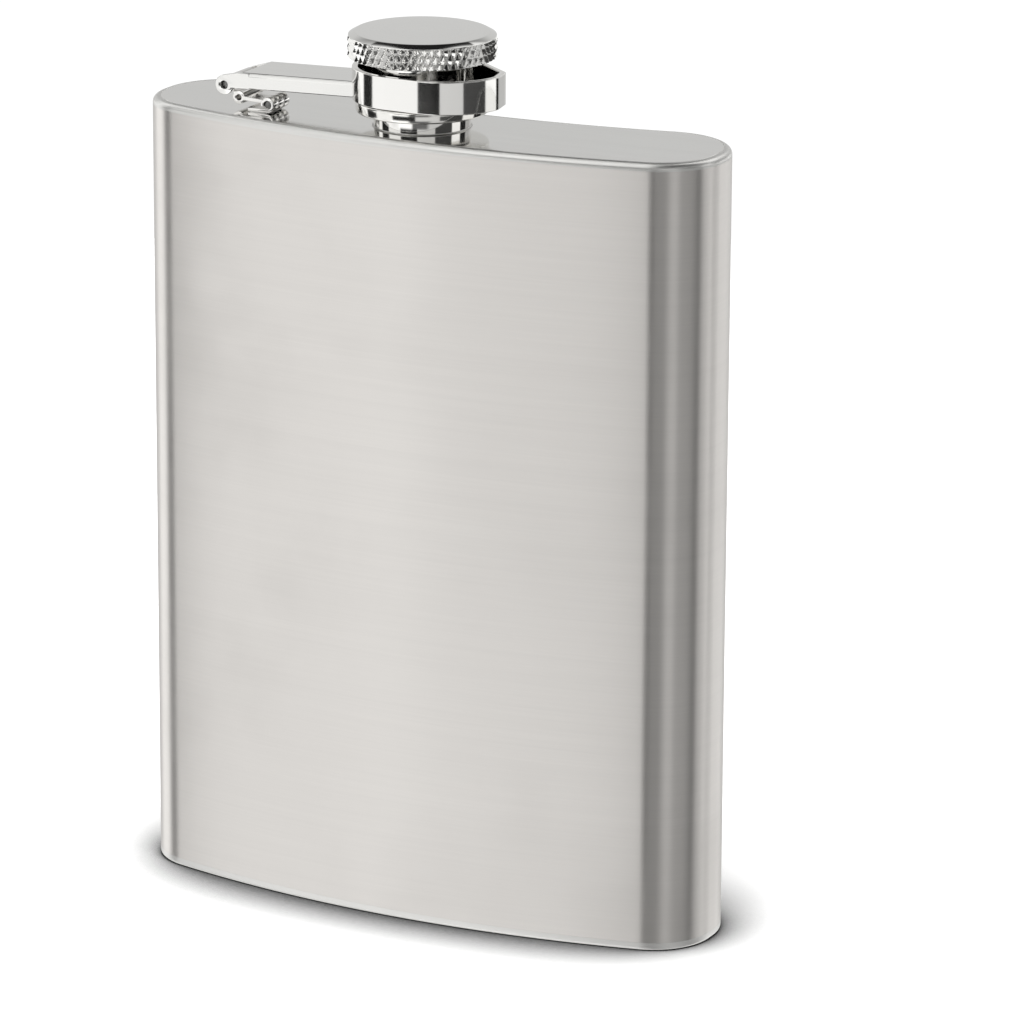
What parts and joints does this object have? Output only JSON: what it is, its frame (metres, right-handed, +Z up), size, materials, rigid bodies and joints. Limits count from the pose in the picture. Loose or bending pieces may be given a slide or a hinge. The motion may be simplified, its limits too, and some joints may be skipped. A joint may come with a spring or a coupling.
{
  "type": "hip flask",
  "caption": "Curved flat steel drinking flask with a short neck and a knurled screw cap held captive in a hinged arm.",
  "frame": {"origin": "centre of the flask's bounding box in plan, on the surface it stands on", "axes": "+X along the width, away from the hinge end; -Y is the convex front; +Z up through the cap"},
  "size_m": [0.095, 0.0266, 0.1365],
  "materials": {
    "brushed_wall": "fine brushing round the body, satin",
    "weld": "dull, as welded",
    "top_sheet": "fine satin, half mirror",
    "polished_rim": "polished, faint wear",
    "base_sheet": "satin with light scuffs",
    "base_rim": "polished, scuffed where it stands",
    "polished_neck": "mirror polished",
    "solder": "dull silver solder",
    "polished_hinge": "polished rolled strip",
    "pin_steel": "plain drawn wire, dull",
    "arm_steel": "satin top, brighter sides",
    "polished_loop": "mirror polished band",
    "knurled_head": "satin dome over a cut diamond knurl",
    "liner_steel": "turned, fine rings",
    "polished_flange": "polished",
    "seal": "matte silicone rubber"
  },
  "bodies": {
    "flask": {"body_wall": "brushed_wall", "side_seam_weld": "weld", "top_plate": "top_sheet", "top_rim_weld": "polished_rim", "base_plate": "base_sheet", "base_rim_weld": "base_rim", "neck": "polished_neck", "neck_braze": "solder", "hinge_lug": "polished_hinge", "lug_solder": "solder", "lug_pin": "pin_steel"},
    "link": {"hinge_link": "polished_hinge"},
    "arm": {"arm_pin": "pin_steel", "arm_channel": "arm_steel", "arm_loop": "polished_loop"},
    "cap": {"cap_head": "knurled_head", "cap_liner": "liner_steel", "cap_flange": "polished_flange", "cap_gasket": "seal"}
  },
  "joints": [
    {"name": "link_swing", "type": "hinge", "parent": "flask", "child": "link", "pos_m": [-0.0244, -0.00444, 0.1233], "axis": [0, -1, 0], "range_deg": [0, 5.2]},
    {"name": "arm_swing", "type": "hinge", "parent": "link", "child": "arm", "pos_m": [-0.0319, -0.00204, 0.12565], "axis": [0, -1, 0], "range_deg": [0, 165]},
    {"name": "cap_turn", "type": "hinge", "parent": "arm", "child": "cap", "pos_m": [-0.0005, -0.00204, 0.13], "axis": [0, 0, 1], "range_deg": [0, 540]}
  ],
  "couplings": [
    {"joint": "link_swing", "follows": "cap_turn", "ratio": 0.009629}
  ]
}
